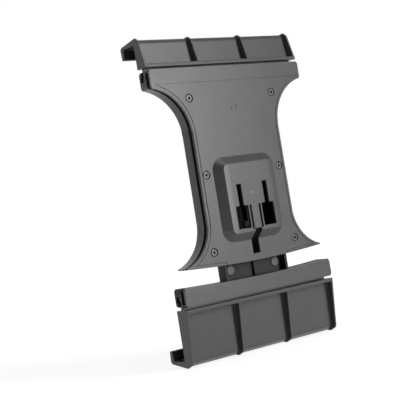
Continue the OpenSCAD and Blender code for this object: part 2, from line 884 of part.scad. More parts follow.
// Front skin of the lower cross bar
module carriage_cover() {
    color(plastic_grey)
        difference() {
            union() {
                slab(cover_in, cover_out) carriage_field();
                slab(shell_depth, cover_in + cover_t / 2) {
                    difference() {
                        carriage_field(skirt_inset);
                        carriage_field(skirt_inset + skirt_t);
                        translate([-rail_in, -carriage_drop]) square([2 * rail_in, carriage_drop]);
                    }
                    intersection() {
                        carriage_field();
                        translate([-bar_half_w, -carriage_drop])
                            square([2 * bar_half_w, lip_band_h]);
                    }
                }
                both_sides()
                    for (x = small_screw_xs)
                        on_axis(x, cover_in + cover_t / 2, small_screw_z)
                            cylinder(h = band_h + cover_t / 2, r = 2 * small_screw_r);
            }
            both_sides()
                for (x = small_screw_xs)
                    on_axis(x, cover_in + cover_t / 4, small_screw_z)
                        cylinder(h = band_h + over, r = small_screw_r + screw_gap);
        }
}

module carriage_screws() {
    color(steel_grey)
        both_sides()
            for (x = small_screw_xs)
                on_axis(x, shell_back + small_head_h, small_screw_z)
                    mirror([0, 0, 1])
                        cross_screw(small_screw_r, small_head_r, small_head_h, small_screw_l);
}

module carriage_pad() {
    color(rubber_black)
        slab(0, pad_t) round_bar(carriage_pad_z, carriage_pad_half_w, carriage_pad_h);
}

// Round glides that pass through the strap's floor and keep it off the shell
module glide_buttons() {
    face_t = slide_gap * 2;
    back_t = strap_floor - strap_floor_t - strap_back;
    color(pale_grey)
        both_sides()
            for (z = [-glide_drop, -glide_drop + glide_pitch])
                on_axis(glide_x, strap_floor, z)
                    rotate_extrude()
                        polygon([
                            [0, -face_t],
                            [glide_r - face_t / 2, -face_t],
                            [glide_r, -face_t / 2],
                            [glide_r, 0],
                            [glide_r / 2, 0],
                            [glide_r / 2, strap_floor_t],
                            [glide_r, strap_floor_t],
                            [glide_r, strap_floor_t + back_t],
                            [0, strap_floor_t + back_t]]);
}

module lower_jaw() {
    color(plastic_grey)
        lower_place() jaw(lower_reach, lower_root, lower_ridge);
}

module lower_jaw_lining() {
    color(rubber_black)
        lower_place() jaw_lining(lower_reach);
}

module lower_grub_screws() {
    color(steel_grey)
        lower_place() grub_screws();
}

// Close-wound extension spring with an eye round the strap's post and one round the body's post
module spring() {
    eye_r = spring_post_r + screw_gap + wire_r;
    coil_line_r = coil_r - wire_r;
    coil_low = strap_post_z + eye_r + 3 * wire_r;
    coil_high = body_post_z - eye_r - 3 * wire_r;
    turns = floor((coil_high - coil_low) / (1.9 * wire_r));
    pitch = (coil_high - coil_low) / turns;
    color(steel_grey)
        translate([spring_x, -spring_y, 0]) {
            translate([0, 0, coil_low])
                rotate_extrude()
                    for (i = [0:turns])
                        translate([coil_line_r, i * pitch]) circle(r = wire_r, $fn = 24);
            for (z = [strap_post_z, body_post_z])
                translate([0, 0, z])
                    rotate([90, 0, 0])
                        rotate_extrude() translate([eye_r, 0]) circle(r = wire_r, $fn = 24);
            for (z = [strap_post_z + eye_r, coil_high])
                translate([0, 0, z]) cylinder(h = 3 * wire_r, r = wire_r, $fn = 24);
            for (z = [coil_low, coil_high])
                translate([0, 0, z])
                    rotate([0, 90, 0]) cylinder(h = coil_line_r, r = wire_r, $fn = 24);
        }
}

module left_spring() {
    mirror([1, 0, 0]) spring();
}

module right_spring() {
    spring();
}

rear_shell();
front_cover();
cover_screws();
seat_pads();
upper_jaw();
upper_jaw_lining();
upper_grub_screws();
slide_carriage();
carriage_cover();
carriage_screws();
carriage_pad();
glide_buttons();
lower_jaw();
lower_jaw_lining();
lower_grub_screws();
left_spring();
right_spring();
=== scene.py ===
"""Looks of a sprung holder for a flat device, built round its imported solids.

Lengths are in metres. X runs across the holder, Z runs up to the fixed jaw and -Y points to the arm.
"""

import json
import logging
import math
from collections.abc import Callable, Iterable, Iterator
from contextlib import contextmanager
from dataclasses import dataclass, field, replace
from enum import Enum

import bpy
import numpy as np
from mathutils import Matrix, Vector
from mathutils.bvhtree import BVHTree

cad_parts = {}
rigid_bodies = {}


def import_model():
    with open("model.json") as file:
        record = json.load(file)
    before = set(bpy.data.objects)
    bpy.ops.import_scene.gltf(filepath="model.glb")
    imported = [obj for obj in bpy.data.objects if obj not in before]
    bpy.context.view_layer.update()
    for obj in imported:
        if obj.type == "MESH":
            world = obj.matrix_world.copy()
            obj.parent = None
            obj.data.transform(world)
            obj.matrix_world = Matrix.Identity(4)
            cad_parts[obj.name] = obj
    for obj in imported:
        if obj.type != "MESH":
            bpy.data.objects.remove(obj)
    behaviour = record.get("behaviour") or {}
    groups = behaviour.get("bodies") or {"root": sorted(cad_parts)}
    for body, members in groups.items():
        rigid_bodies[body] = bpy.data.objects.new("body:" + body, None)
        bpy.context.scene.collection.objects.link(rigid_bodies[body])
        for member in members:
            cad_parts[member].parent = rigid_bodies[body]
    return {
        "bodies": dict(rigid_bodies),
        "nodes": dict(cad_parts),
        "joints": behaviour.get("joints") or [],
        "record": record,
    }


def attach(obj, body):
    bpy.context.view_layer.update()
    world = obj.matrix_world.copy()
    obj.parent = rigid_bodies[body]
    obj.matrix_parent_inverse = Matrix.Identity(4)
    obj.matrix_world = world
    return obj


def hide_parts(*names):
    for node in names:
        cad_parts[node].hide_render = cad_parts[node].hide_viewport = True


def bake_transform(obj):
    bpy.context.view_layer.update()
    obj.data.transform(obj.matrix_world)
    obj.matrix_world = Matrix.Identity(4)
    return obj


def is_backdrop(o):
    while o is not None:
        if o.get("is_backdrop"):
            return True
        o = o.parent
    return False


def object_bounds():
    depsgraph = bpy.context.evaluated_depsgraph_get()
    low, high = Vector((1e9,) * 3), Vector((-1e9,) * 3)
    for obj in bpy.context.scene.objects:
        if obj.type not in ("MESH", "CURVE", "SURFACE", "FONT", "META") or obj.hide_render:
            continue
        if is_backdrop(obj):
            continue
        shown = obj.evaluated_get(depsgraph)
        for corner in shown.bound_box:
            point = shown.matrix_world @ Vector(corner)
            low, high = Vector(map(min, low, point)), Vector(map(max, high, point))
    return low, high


LOG = logging.getLogger("holder")
MM = 0.001
Point = tuple[float, float, float]
Grey = tuple[float, float, float, float]
Piece = bpy.types.Object
Mesh = bpy.types.Mesh
Socket = bpy.types.NodeSocket


class Body(Enum):
    """The two bodies that pieces ride on."""

    HOLDER = "holder_body"
    CARRIAGE = "carriage"


class Slot(Enum):
    """The record's material slots."""

    HOUSING = "housing_plastic"
    STRAP = "strap_plastic"
    GLIDE = "glide_plastic"
    RUBBER = "pad_rubber"
    SCREW = "screw_steel"
    SPRING = "spring_steel"


def grey(value: float, warm: float = 0.0) -> Grey:
    """Gives a grey in linear light.

    Args:
        value: Its brightness.
        warm: How much redder than blue it is, as a share.

    Returns:
        The colour with full alpha.
    """
    return (value * (1 + warm / 2), value, value * (1 - warm / 2), 1.0)


class Graph:
    """A node tree with short calls to add nodes and join them."""

    MIX_COLOUR = 2

    def __init__(self, owner: bpy.types.Material | bpy.types.World) -> None:
        """Turns on the owner's nodes and adds its coordinates.

        Args:
            owner: The material or the world.
        """
        self.owner = owner
        owner.use_nodes = True
        self.nodes = owner.node_tree.nodes
        self.links = owner.node_tree.links
        coordinates = self.add("ShaderNodeTexCoord").outputs
        self.place = coordinates["Object"]
        self.direction = coordinates["Generated"]

    def add(self, kind: str, **values: object) -> bpy.types.Node:
        """Adds a node and fills it in.

        Args:
            kind: The node's type.
            values: What fill takes.

        Returns:
            The node.
        """
        node = self.nodes.new(kind)
        self.fill(node, **values)
        return node

    def fill(self, node: bpy.types.Node, **values: object) -> None:
        """Sets a node's properties and inputs, and links each input that is given a socket.

        Args:
            node: The node.
            values: Properties, or inputs' identifiers with spaces written as underscores.
        """
        inputs = {socket.identifier.replace(" ", "_"): socket for socket in node.inputs}
        for key, value in values.items():
            if isinstance(value, Socket):
                self.links.new(value, inputs[key])
            elif key in inputs:
                inputs[key].default_value = value
            else:
                setattr(node, key, value)

    def shade(self, **values: object) -> bpy.types.Material:
        """Fills in the Principled shader.

        Args:
            values: What fill takes.

        Returns:
            The material.
        """
        self.fill(self.nodes["Principled BSDF"], **values)
        return self.owner

    def noise(self, size: float, detail: float = 2.0, rough: float = 0.5) -> Socket:
        """Adds a noise pattern on Object coordinates.

        Args:
            size: The pattern's size in metres.
            detail: Its octaves.
            rough: How strong the finer octaves are.

        Returns:
            The noise value.
        """
        node = self.add("ShaderNodeTexNoise", Vector=self.place, Scale=1 / size, Detail=detail,
                        Roughness=rough)
        return node.outputs["Fac"]

    def away(self, place: Point) -> Socket:
        """Measures the distance from a place on Object coordinates."""
        far = self.add("ShaderNodeVectorMath", operation="DISTANCE", Vector=self.place, Vector_001=place)
        return far.outputs["Value"]

    def spread(self, value: Socket, low: float, high: float, start: float = 0.22,
               end: float = 0.78, ease: str = "SMOOTHSTEP") -> Socket:
        """Maps a value from one range to another.

        Args:
            value: The socket to map.
            low: The result at start.
            high: The result at end.
            start: The value that gives low.
            end: The value that gives high.
            ease: How it runs between them.

        Returns:
            The mapped value.
        """
        node = self.add("ShaderNodeMapRange", interpolation_type=ease, Value=value, From_Min=start,
                        From_Max=end, To_Min=low, To_Max=high)
        return node.outputs["Result"]

    def sway(self, value: Socket, middle: float, change: float) -> Socket:
        """Maps a pattern to the range round a middle value."""
        return self.spread(value, middle - change, middle + change)

    def rays(self, *kinds: str) -> Socket:
        """Tells rays of some kinds from all others.

        Args:
            kinds: The kinds.

        Returns:
            1 for a ray of these kinds and 0 for any other.
        """
        path = self.add("ShaderNodeLightPath").outputs
        found, *others = (path[f"Is {kind} Ray"] for kind in kinds)
        for other in others:
            either = self.add("ShaderNodeMath", operation="MAXIMUM", Value=found, Value_001=other)
            found = either.outputs["Value"]
        return found

    def mix(self, share: Socket, first: Socket | float, second: Socket | float) -> Socket:
        """Mixes two numbers by a share, which is 0 for the first and 1 for the second."""
        return self.add("ShaderNodeMix", Factor_Float=share, A_Float=first, B_Float=second).outputs["Result"]

    def blend(self, share: Socket, first: Socket | Grey, second: Socket | Grey) -> Socket:
        """Mixes two colours by a share, which is 0 for the first and 1 for the second."""
        node = self.add("ShaderNodeMix", data_type="RGBA", Factor_Float=share, A_Color=first, B_Color=second)
        return node.outputs[self.MIX_COLOUR]

    def bump(self, height: Socket, depth: float, strength: float = 1.0, **under: Socket) -> Socket:
        """Turns a height into a bumped normal.

        Args:
            height: The height, from 0 to 1.
            depth: How deep that height is, in metres.
            strength: How much of it shows.
            under: As Normal, the normal that it lies on.

        Returns:
            The normal.
        """
        node = self.add("ShaderNodeBump", Strength=strength, Distance=depth, Height=height, **under)
        return node.outputs["Normal"]


@dataclass(frozen=True)
class MouldedPlastic:
    """Injection-moulded plastic with a fine spark-eroded grain."""

    name: str
    colour: float
    roughness: float
    grain: float = 0.32 * MM
    grain_depth: float = 0.006 * MM
    flow_size: float = 14 * MM
    mottle: float = 0.08
    gloss_size: float = 12 * MM
    gloss_change: float = 0.018
    wave: float = 5 * MM
    wave_depth: float = 0.024 * MM
    specular: float = 0.5
    # A paler disc round a given place in the colour: a painted highlight.
    painted_highlight_at: Point | None = None
    painted_highlight_r: float = 1.9 * MM
    painted_highlight_core: float = 0.45
    painted_highlight_paler: float = 2.1

    def make(self) -> bpy.types.Material:
        """Builds the material: faint flow marks, uneven gloss, soft waves, a fine grain and, where a place
        is given, a painted highlight as a paler disc.

        Returns:
            The material.
        """
        graph = Graph(bpy.data.materials.new(self.name))
        low = grey(self.colour * (1 - self.mottle), 0.02)
        high = grey(self.colour * (1 + self.mottle), 0.0)
        colour = graph.blend(graph.spread(graph.noise(self.flow_size, 8.0, 0.75), 0, 1), low, high)
        # Painted highlight: the colour grows paler towards the given place.
        if self.painted_highlight_at is not None:
            core = self.painted_highlight_r * self.painted_highlight_core
            share = graph.spread(graph.away(self.painted_highlight_at), 1, 0, core, self.painted_highlight_r)
            colour = graph.blend(share, colour, grey(self.colour * self.painted_highlight_paler))
        gloss = graph.sway(graph.noise(self.gloss_size, 4.0), self.roughness, self.gloss_change)
        wide = graph.bump(graph.noise(self.wave, 1.0), self.wave_depth, 0.15)
        fine = graph.bump(graph.noise(self.grain, 3.0, 0.6), self.grain_depth, 0.8, Normal=wide)
        return graph.shade(Base_Color=colour, Roughness=gloss, Normal=fine, Specular_IOR_Level=self.specular)


@dataclass(frozen=True)
class Rubber:
    """Matt rubber with a soft sheen and dust in its low places."""

    name: str
    colour: float
    roughness: float = 0.78
    gloss_size: float = 2 * MM
    gloss_change: float = 0.06
    dust_size: float = 6 * MM
    dust_paler: float = 1.7
    pebble: float = 0.35 * MM
    pebble_depth: float = 0.015 * MM
    sheen: float = 0.15

    def make(self) -> bpy.types.Material:
        """Builds the material with a pebbled skin and pale dusting.

        Returns:
            The material.
        """
        graph = Graph(bpy.data.materials.new(self.name))
        dust = graph.spread(graph.noise(self.dust_size, 4.0, 0.65), 0, 1, 0.45, 0.75)
        colour = graph.blend(dust, grey(self.colour), grey(self.colour * self.dust_paler, 0.05))
        gloss = graph.sway(graph.noise(self.gloss_size), self.roughness, self.gloss_change)
        pebble = graph.add("ShaderNodeTexVoronoi", Vector=graph.place, Scale=1 / self.pebble)
        skin = graph.bump(pebble.outputs["Distance"], self.pebble_depth, 0.7)
        return graph.shade(Base_Color=colour, Roughness=gloss, Normal=skin, Sheen_Weight=self.sheen,
                           Sheen_Roughness=0.5)


@dataclass(frozen=True)
class Steel:
    """Steel, bright or blackened, with turning marks and worn patches."""

    name: str
    colour: float
    worn: float
    roughness: float
    metallic: float = 1.0
    wear_size: float = 0.7 * MM
    gloss_size: float = 0.4 * MM
    gloss_change: float = 0.07
    mark_size: float = 0.12 * MM
    mark_depth: float = 0.004 * MM

    def make(self) -> bpy.types.Material:
        """Builds the material: a dark finish that wears to brighter metal.

        Returns:
            The material.
        """
        graph = Graph(bpy.data.materials.new(self.name))
        wear = graph.spread(graph.noise(self.wear_size, 4.0, 0.7), 0, 1, 0.5, 0.72)
        colour = graph.blend(wear, grey(self.colour), grey(self.worn, 0.03))
        gloss = graph.sway(graph.noise(self.gloss_size, 3.0), self.roughness, self.gloss_change)
        marks = graph.bump(graph.noise(self.mark_size, 2.0), self.mark_depth, 0.6)
        return graph.shade(Base_Color=colour, Roughness=gloss, Normal=marks, Metallic=self.metallic)


Finish = MouldedPlastic | Rubber | Steel
HOUSING = MouldedPlastic("housing_grain", colour=0.105, roughness=0.3)
# The cover's nub gets a painted highlight, a paler disc in its colour.
COVER = replace(HOUSING, name="cover_grain", painted_highlight_at=(0, -16.7 * MM, -2.1 * MM))
STRAP = MouldedPlastic("strap_matt", colour=0.026, roughness=0.52, grain=0.25 * MM, specular=0.32)
# Darker than the housing as painted shade for the faces behind the windows; its rougher finish is real.
INSIDE_SHADE = MouldedPlastic("inside_dull", colour=0.04, roughness=0.7, specular=0.3)
GLIDE = MouldedPlastic("glide_smooth", colour=0.145, roughness=0.38, grain_depth=0.004 * MM,
                       wave_depth=0.016 * MM, mottle=0.04)
RUBBER = Rubber("lining_rubber", colour=0.022)
BLACKENED = Steel("blackened_steel", colour=0.11, worn=0.27, roughness=0.36, metallic=0.9)
# Near black, as painted shade in the screws' cross recesses.
RECESS_SHADE = Rubber("recess_grime", colour=0.012)
DRAWN = Steel("drawn_wire", colour=0.42, worn=0.6, roughness=0.36)


def stand(name: str, data: bpy.types.ID) -> Piece:
    """Adds a new object to the scene.

    Args:
        name: Its name.
        data: Its mesh, curve, camera or light.

    Returns:
        The object.
    """
    item = bpy.data.objects.new(name, data)
    bpy.context.scene.collection.objects.link(item)
    return item


class Shop:
    """Bench tools shared by the sub-assemblies: selecting, copying, rounding and finishing meshes."""

    SHARP = math.cos(math.radians(28))
    ROOM_SHARE = 0.34
    LEAST_ROUND = 0.025 * MM
    ATTEMPTS = 10
    EASE_REACH = (8, 8, 40, 40)
    EASE_NEAR = 2.5
    EASE_SHARE = 0.45
    EASE_ATTEMPTS = 6
    DOUBLED = 0.002 * MM
    SAME_PLANE = math.radians(0.5)

    def __init__(self, frame: dict) -> None:
        """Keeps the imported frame.
        """
        self.nodes = frame["nodes"]
        self.made: dict[Finish, bpy.types.Material] = {}
        self.daylight = Daylight(self.nodes.values())

    @staticmethod
    def clear() -> None:
        """Deselects every object."""
        if bpy.context.object is not None and bpy.context.object.mode != "OBJECT":
            bpy.ops.object.mode_set(mode="OBJECT")
        bpy.ops.object.select_all(action="DESELECT")

    @classmethod
    def pick(cls, *objects: Piece) -> None:
        """Selects only these objects and makes the first one active.

        Args:
            objects: The objects.
        """
        cls.clear()
        for item in objects:
            item.select_set(True)
        bpy.context.view_layer.objects.active = objects[0]

    @classmethod
    def block(cls, *moves: Matrix) -> Piece:
        """Makes a cube with sides of one metre and moves its mesh by each matrix in turn.

        Args:
            moves: The matrices.

        Returns:
            The block.
        """
        cls.clear()
        bpy.ops.mesh.primitive_cube_add(size=1)
        for move in moves:
            bpy.context.object.data.transform(move)
        return bpy.context.object

    @classmethod
    @contextmanager
    def editing(cls, piece: Piece, action: str = "SELECT") -> Iterator[None]:
        """Holds a piece in edit mode, by edges.

        Args:
            piece: The mesh object.
            action: What select_all does first.

        Yields:
            Nothing, while the piece is edited.
        """
        cls.pick(piece)
        bpy.ops.object.mode_set(mode="EDIT")
        bpy.ops.mesh.select_mode(type="EDGE")
        bpy.ops.mesh.select_all(action=action)
        yield
        bpy.ops.object.mode_set(mode="OBJECT")

    @classmethod
    @contextmanager
    def editing_edges(cls, piece: Piece, wanted: Callable[[Vector, Vector], bool]) -> Iterator[None]:
        """Holds a piece in edit mode with only some of its edges selected.

        Args:
            piece: The mesh object.
            wanted: Says of an edge's two points whether the edge is selected.

        Yields:
            Nothing, while the piece is edited.
        """
        with cls.editing(piece, "DESELECT"):
            bpy.ops.object.mode_set(mode="OBJECT")
            points = piece.data.vertices
            for edge in piece.data.edges:
                edge.select = wanted(*(points[i].co for i in edge.vertices))
            bpy.ops.object.mode_set(mode="EDIT")
            yield

    @classmethod
    def settle(cls, piece: Piece) -> None:
        """Applies a piece's place, turn and size to its mesh."""
        cls.pick(piece)
        bpy.ops.object.transform_apply(location=True, rotation=True, scale=True)

    @classmethod
    def apply(cls, piece: Piece, kind: str, **values: object) -> None:
        """Adds a modifier and applies it.

        Args:
            piece: The mesh object.
            kind: The modifier's type.
            values: Its settings.
        """
        cls.pick(piece)
        modifier = piece.modifiers.new(kind.lower(), kind)
        for key, value in values.items():
            setattr(modifier, key, value)
        bpy.ops.object.modifier_apply(modifier=modifier.name)

    @classmethod
    def carve(cls, piece: Piece, tool: Piece) -> None:
        """Cuts a tool's form out of a piece and deletes the tool."""
        cls.apply(piece, "BOOLEAN", operation="DIFFERENCE", object=tool, solver="EXACT")
        bpy.data.objects.remove(tool)

    @classmethod
    def weld(cls, piece: Piece, gap: float = DOUBLED) -> None:
        """Merges doubled points and points every face outwards.

        Args:
            piece: The mesh object.
            gap: How far apart doubled points may be.
        """
        with cls.editing(piece):
            bpy.ops.mesh.remove_doubles(threshold=gap)
            bpy.ops.mesh.normals_make_consistent(inside=False)

    @classmethod
    def close(cls, piece: Piece) -> None:
        """Fills the holes that a cut left in a piece and points every face outwards.

        Args:
            piece: The mesh object.
        """
        with cls.editing(piece, "DESELECT"):
            bpy.ops.mesh.select_non_manifold(use_wire=False, use_multi_face=False, use_non_contiguous=False,
                                             use_verts=False)
            bpy.ops.mesh.fill_holes(sides=0)
            bpy.ops.mesh.select_all(action="SELECT")
            bpy.ops.mesh.normals_make_consistent(inside=False)

    @classmethod
    def smooth(cls, piece: Piece, angle: float = 38.0) -> None:
        """Shades a piece smooth across its flatter edges and weights its normals by area.

        Args:
            piece: The mesh object.
            angle: The angle in degrees from which an edge stays sharp.
        """
        cls.pick(piece)
        bpy.ops.object.shade_smooth_by_angle(angle=math.radians(angle))
        cls.apply(piece, "WEIGHTED_NORMAL", keep_sharp=True, weight=50)

    def dress(self, piece: Piece, finish: Finish, slot: Slot) -> None:
        """Gives a piece its finish.

        Args:
            piece: The mesh object.
            finish: The finish.
            slot: The record's slot; not used.
        """
        piece.data.materials.clear()
        piece.data.materials.append(self.material(finish))

    def material(self, finish: Finish) -> bpy.types.Material:
        """Gives a finish's material, which is made once.

        Args:
            finish: The finish.

        Returns:
            The material.
        """
        if finish not in self.made:
            self.made[finish] = finish.make()
        return self.made[finish]

    def hand_over(self, piece: Piece, body: Body, finish: Finish, slot: Slot, node: str) -> Piece:
        """Finishes a piece: dresses it, lets it ride and hides its solid.

        Args:
            piece: The mesh object.
            body: The body that it rides on.
            finish: Its finish.
            slot: The record's slot.
            node: The solid, which is hidden.

        Returns:
            The piece.
        """
        self.dress(piece, finish, slot)
        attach(piece, body.value)
        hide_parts(node)
        LOG.info("%s: %d faces on %s", piece.name, len(piece.data.polygons), body.value)
        return piece

    def moulding(self, node: str, name: str) -> Piece:
        """Copies a solid's mesh as a clean piece with whole faces.

        Args:
            node: The solid.
            name: The piece's name.

        Returns:
            The copy, with its triangles merged to flat faces.
        """
        piece = stand(name, self.nodes[node].data.copy())
        self.pick(piece)
        bpy.ops.mesh.customdata_custom_splitnormals_clear()
        with self.editing(piece):
            bpy.ops.mesh.remove_doubles(threshold=self.DOUBLED)
            bpy.ops.mesh.mark_sharp(clear=True)
            bpy.ops.mesh.dissolve_limited(angle_limit=self.SAME_PLANE, delimit=set())
        return piece

    def rounded(self, node: str, name: str, radius: float, body: Body, finish: Finish, slot: Slot) -> Piece:
        """Makes a piece of a solid by rounding its edges, and hands it over.

        Args:
            node: The solid, which the piece stands for.
            name: The piece's name.
            radius: The rounding.
            body: The body that it rides on.
            finish: Its finish.
            slot: The record's slot.

        Returns:
            The piece.
        """
        piece = self.moulding(node, name)
        self.round_edges(piece, radius)
        self.smooth(piece)
        return self.hand_over(piece, body, finish, slot, node)

    def round_edges(self, piece: Piece, radius: float, segments: int = 2, rest: float = 1.0,
                    firm: Callable[[Vector], bool] = lambda middle: False) -> None:
        """Rounds a piece's edges, less where the surfaces beside them are narrow.

        Args:
            piece: The mesh object.
            radius: The rounding where there is room for it.
            segments: Steps across the rounding.
            rest: The most that any but a firm edge gets, as a share of the rounding.
            firm: Says of an edge's middle whether the edge gets the full rounding.
        """
        weights = self._weights(piece.data, radius, rest, firm)
        plain_mesh = piece.data.copy()
        for attempt in range(self.ATTEMPTS):
            mesh = plain_mesh.copy()
            layer = mesh.attributes.get("bevel_weight_edge")
            if layer is None:
                layer = mesh.attributes.new("bevel_weight_edge", "FLOAT", "EDGE")
            layer.data.foreach_set("value", weights)
            piece.data = mesh
            self.apply(piece, "BEVEL", width=radius, segments=segments, limit_method="WEIGHT",
                       use_clamp_overlap=False, miter_outer="MITER_SHARP")
            spots = crossings(piece.data)
            if not len(spots):
                break
            self._ease(plain_mesh, weights, spots, radius, attempt)
        LOG.info("%s: rounded in %d attempts, %d crossings left", piece.name, attempt + 1, len(spots))

    def _weights(self, mesh: Mesh, radius: float, rest: float, firm: Callable[[Vector], bool]) -> np.ndarray:
        """Weighs each edge by the rounding that it has room for.

        Args:
            mesh: The mesh.
            radius: The full rounding.
            rest: The most that any but a firm edge gets.
            firm: Says which edges get the full rounding.

        Returns:
            A weight from 0 to 1 for each edge.
        """
        room = Clearance(mesh).room()
        sides = Clearance.sides(mesh)
        weights = np.zeros(len(mesh.edges), np.float32)
        for edge in mesh.edges:
            joined = sides.get(tuple(sorted(edge.vertices)), [])
            if len(joined) != 2:
                continue
            first, second = (mesh.polygons[i].normal for i in joined)
            middle = (mesh.vertices[edge.vertices[0]].co + mesh.vertices[edge.vertices[1]].co) / 2
            if first.dot(second) < self.SHARP and self.daylight.reaches(middle, first, second):
                free = self.ROOM_SHARE * room.get(edge.index, 0.0) / radius
                weights[edge.index] = 1.0 if firm(middle) else min(rest, free)
        weights[weights * radius < self.LEAST_ROUND] = 0
        return weights

    def _ease(self, mesh: Mesh, weights: np.ndarray, spots: np.ndarray, radius: float,
              attempt: int) -> None:
        """Lessens the rounding of the edges that pass close to where a rounded face crossed itself.

        Args:
            mesh: The mesh before rounding.
            weights: Its edges' weights, which this changes.
            spots: The crossings.
            radius: The full rounding.
            attempt: How many attempts came before, which bring longer edges in.
        """
        ends = np.array([[mesh.vertices[i].co for i in edge.vertices] for edge in mesh.edges], float)
        run = ends[:, 1] - ends[:, 0]
        length = np.linalg.norm(run, axis=1)
        gap = spots[:, None] - ends[None, :, 0]
        share = np.clip(np.einsum("ijk,jk->ij", gap, run) / (length**2 + 1e-18), 0, 1)
        away = np.linalg.norm(gap - share[..., None] * run[None], axis=2).min(axis=0)
        longest = radius * self.EASE_REACH[attempt] if attempt < len(self.EASE_REACH) else math.inf
        near = (away < radius * (self.EASE_NEAR + attempt / 2)) & (length < longest)
        weights[near] *= self.EASE_SHARE if attempt < self.EASE_ATTEMPTS else 0.0
        weights[weights * radius < self.LEAST_ROUND] = 0


def crossings(mesh: Mesh) -> np.ndarray:
    """Finds where the outline of a many-sided face crosses itself.

    Args:
        mesh: The mesh.

    Returns:
        The places, one a row.
    """
    corner = 1e-3
    parallel = 1e-16
    slant = (0.3, 0.5, 0.8)
    many = 5
    found = []
    for face in mesh.polygons:
        if len(face.vertices) < many:
            continue
        outline = np.array([mesh.vertices[i].co for i in face.vertices], float)
        normal = np.array(face.normal)
        first = np.cross(normal, slant)
        first /= np.linalg.norm(first)
        second = np.cross(normal, first)
        start = np.stack([outline @ first, outline @ second], axis=1)
        run = np.roll(start, -1, axis=0) - start
        gap = start[None] - start[:, None]
        turn = run[:, None, 0] * run[None, :, 1] - run[:, None, 1] * run[None, :, 0]
        with np.errstate(divide="ignore", invalid="ignore"):
            here = (gap[..., 0] * run[None, :, 1] - gap[..., 1] * run[None, :, 0]) / turn
            there = (gap[..., 0] * run[:, None, 1] - gap[..., 1] * run[:, None, 0]) / turn
        met = ((here > corner) & (here < 1 - corner) & (there > corner) & (there < 1 - corner)
               & (np.abs(turn) > parallel))
        for i in np.unique(np.nonzero(np.triu(met, 1))[0]):
            j = int(np.nonzero(met[i])[0][0])
            found.append(outline[i] + here[i, j] * (np.roll(outline, -1, axis=0)[i] - outline[i]))
    return np.array(found).reshape(-1, 3)


class Daylight:
    """Tells which places on the object show from outside it."""

    START = 0.03 * MM
    REACH = 1.0
    LEANS = (0.5, 0.25, 0.75)

    def __init__(self, solids: Iterable[Piece]) -> None:
        """Gathers every solid's faces for ray tests.

        Args:
            solids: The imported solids.
        """
        points: list[Vector] = []
        faces: list[list[int]] = []
        for solid in solids:
            base = len(points)
            points += [solid.matrix_world @ vertex.co for vertex in solid.data.vertices]
            faces += [[base + i for i in face.vertices] for face in solid.data.polygons]
        self.tree = BVHTree.FromPolygons(points, faces)

    def reaches(self, place: Vector, first: Vector, second: Vector) -> bool:
        """Says whether light from far away can reach an edge between its two faces' normals.

        Args:
            place: A point on the edge.
            first: One face's normal.
            second: The other face's normal.

        Returns:
            True if one of three rays leaves the object.
        """
        for lean in self.LEANS:
            way = (first * lean + second * (1 - lean)).normalized()
            if self.tree.ray_cast(place + way * self.START, way, self.REACH)[0] is None:
                return True
        return False


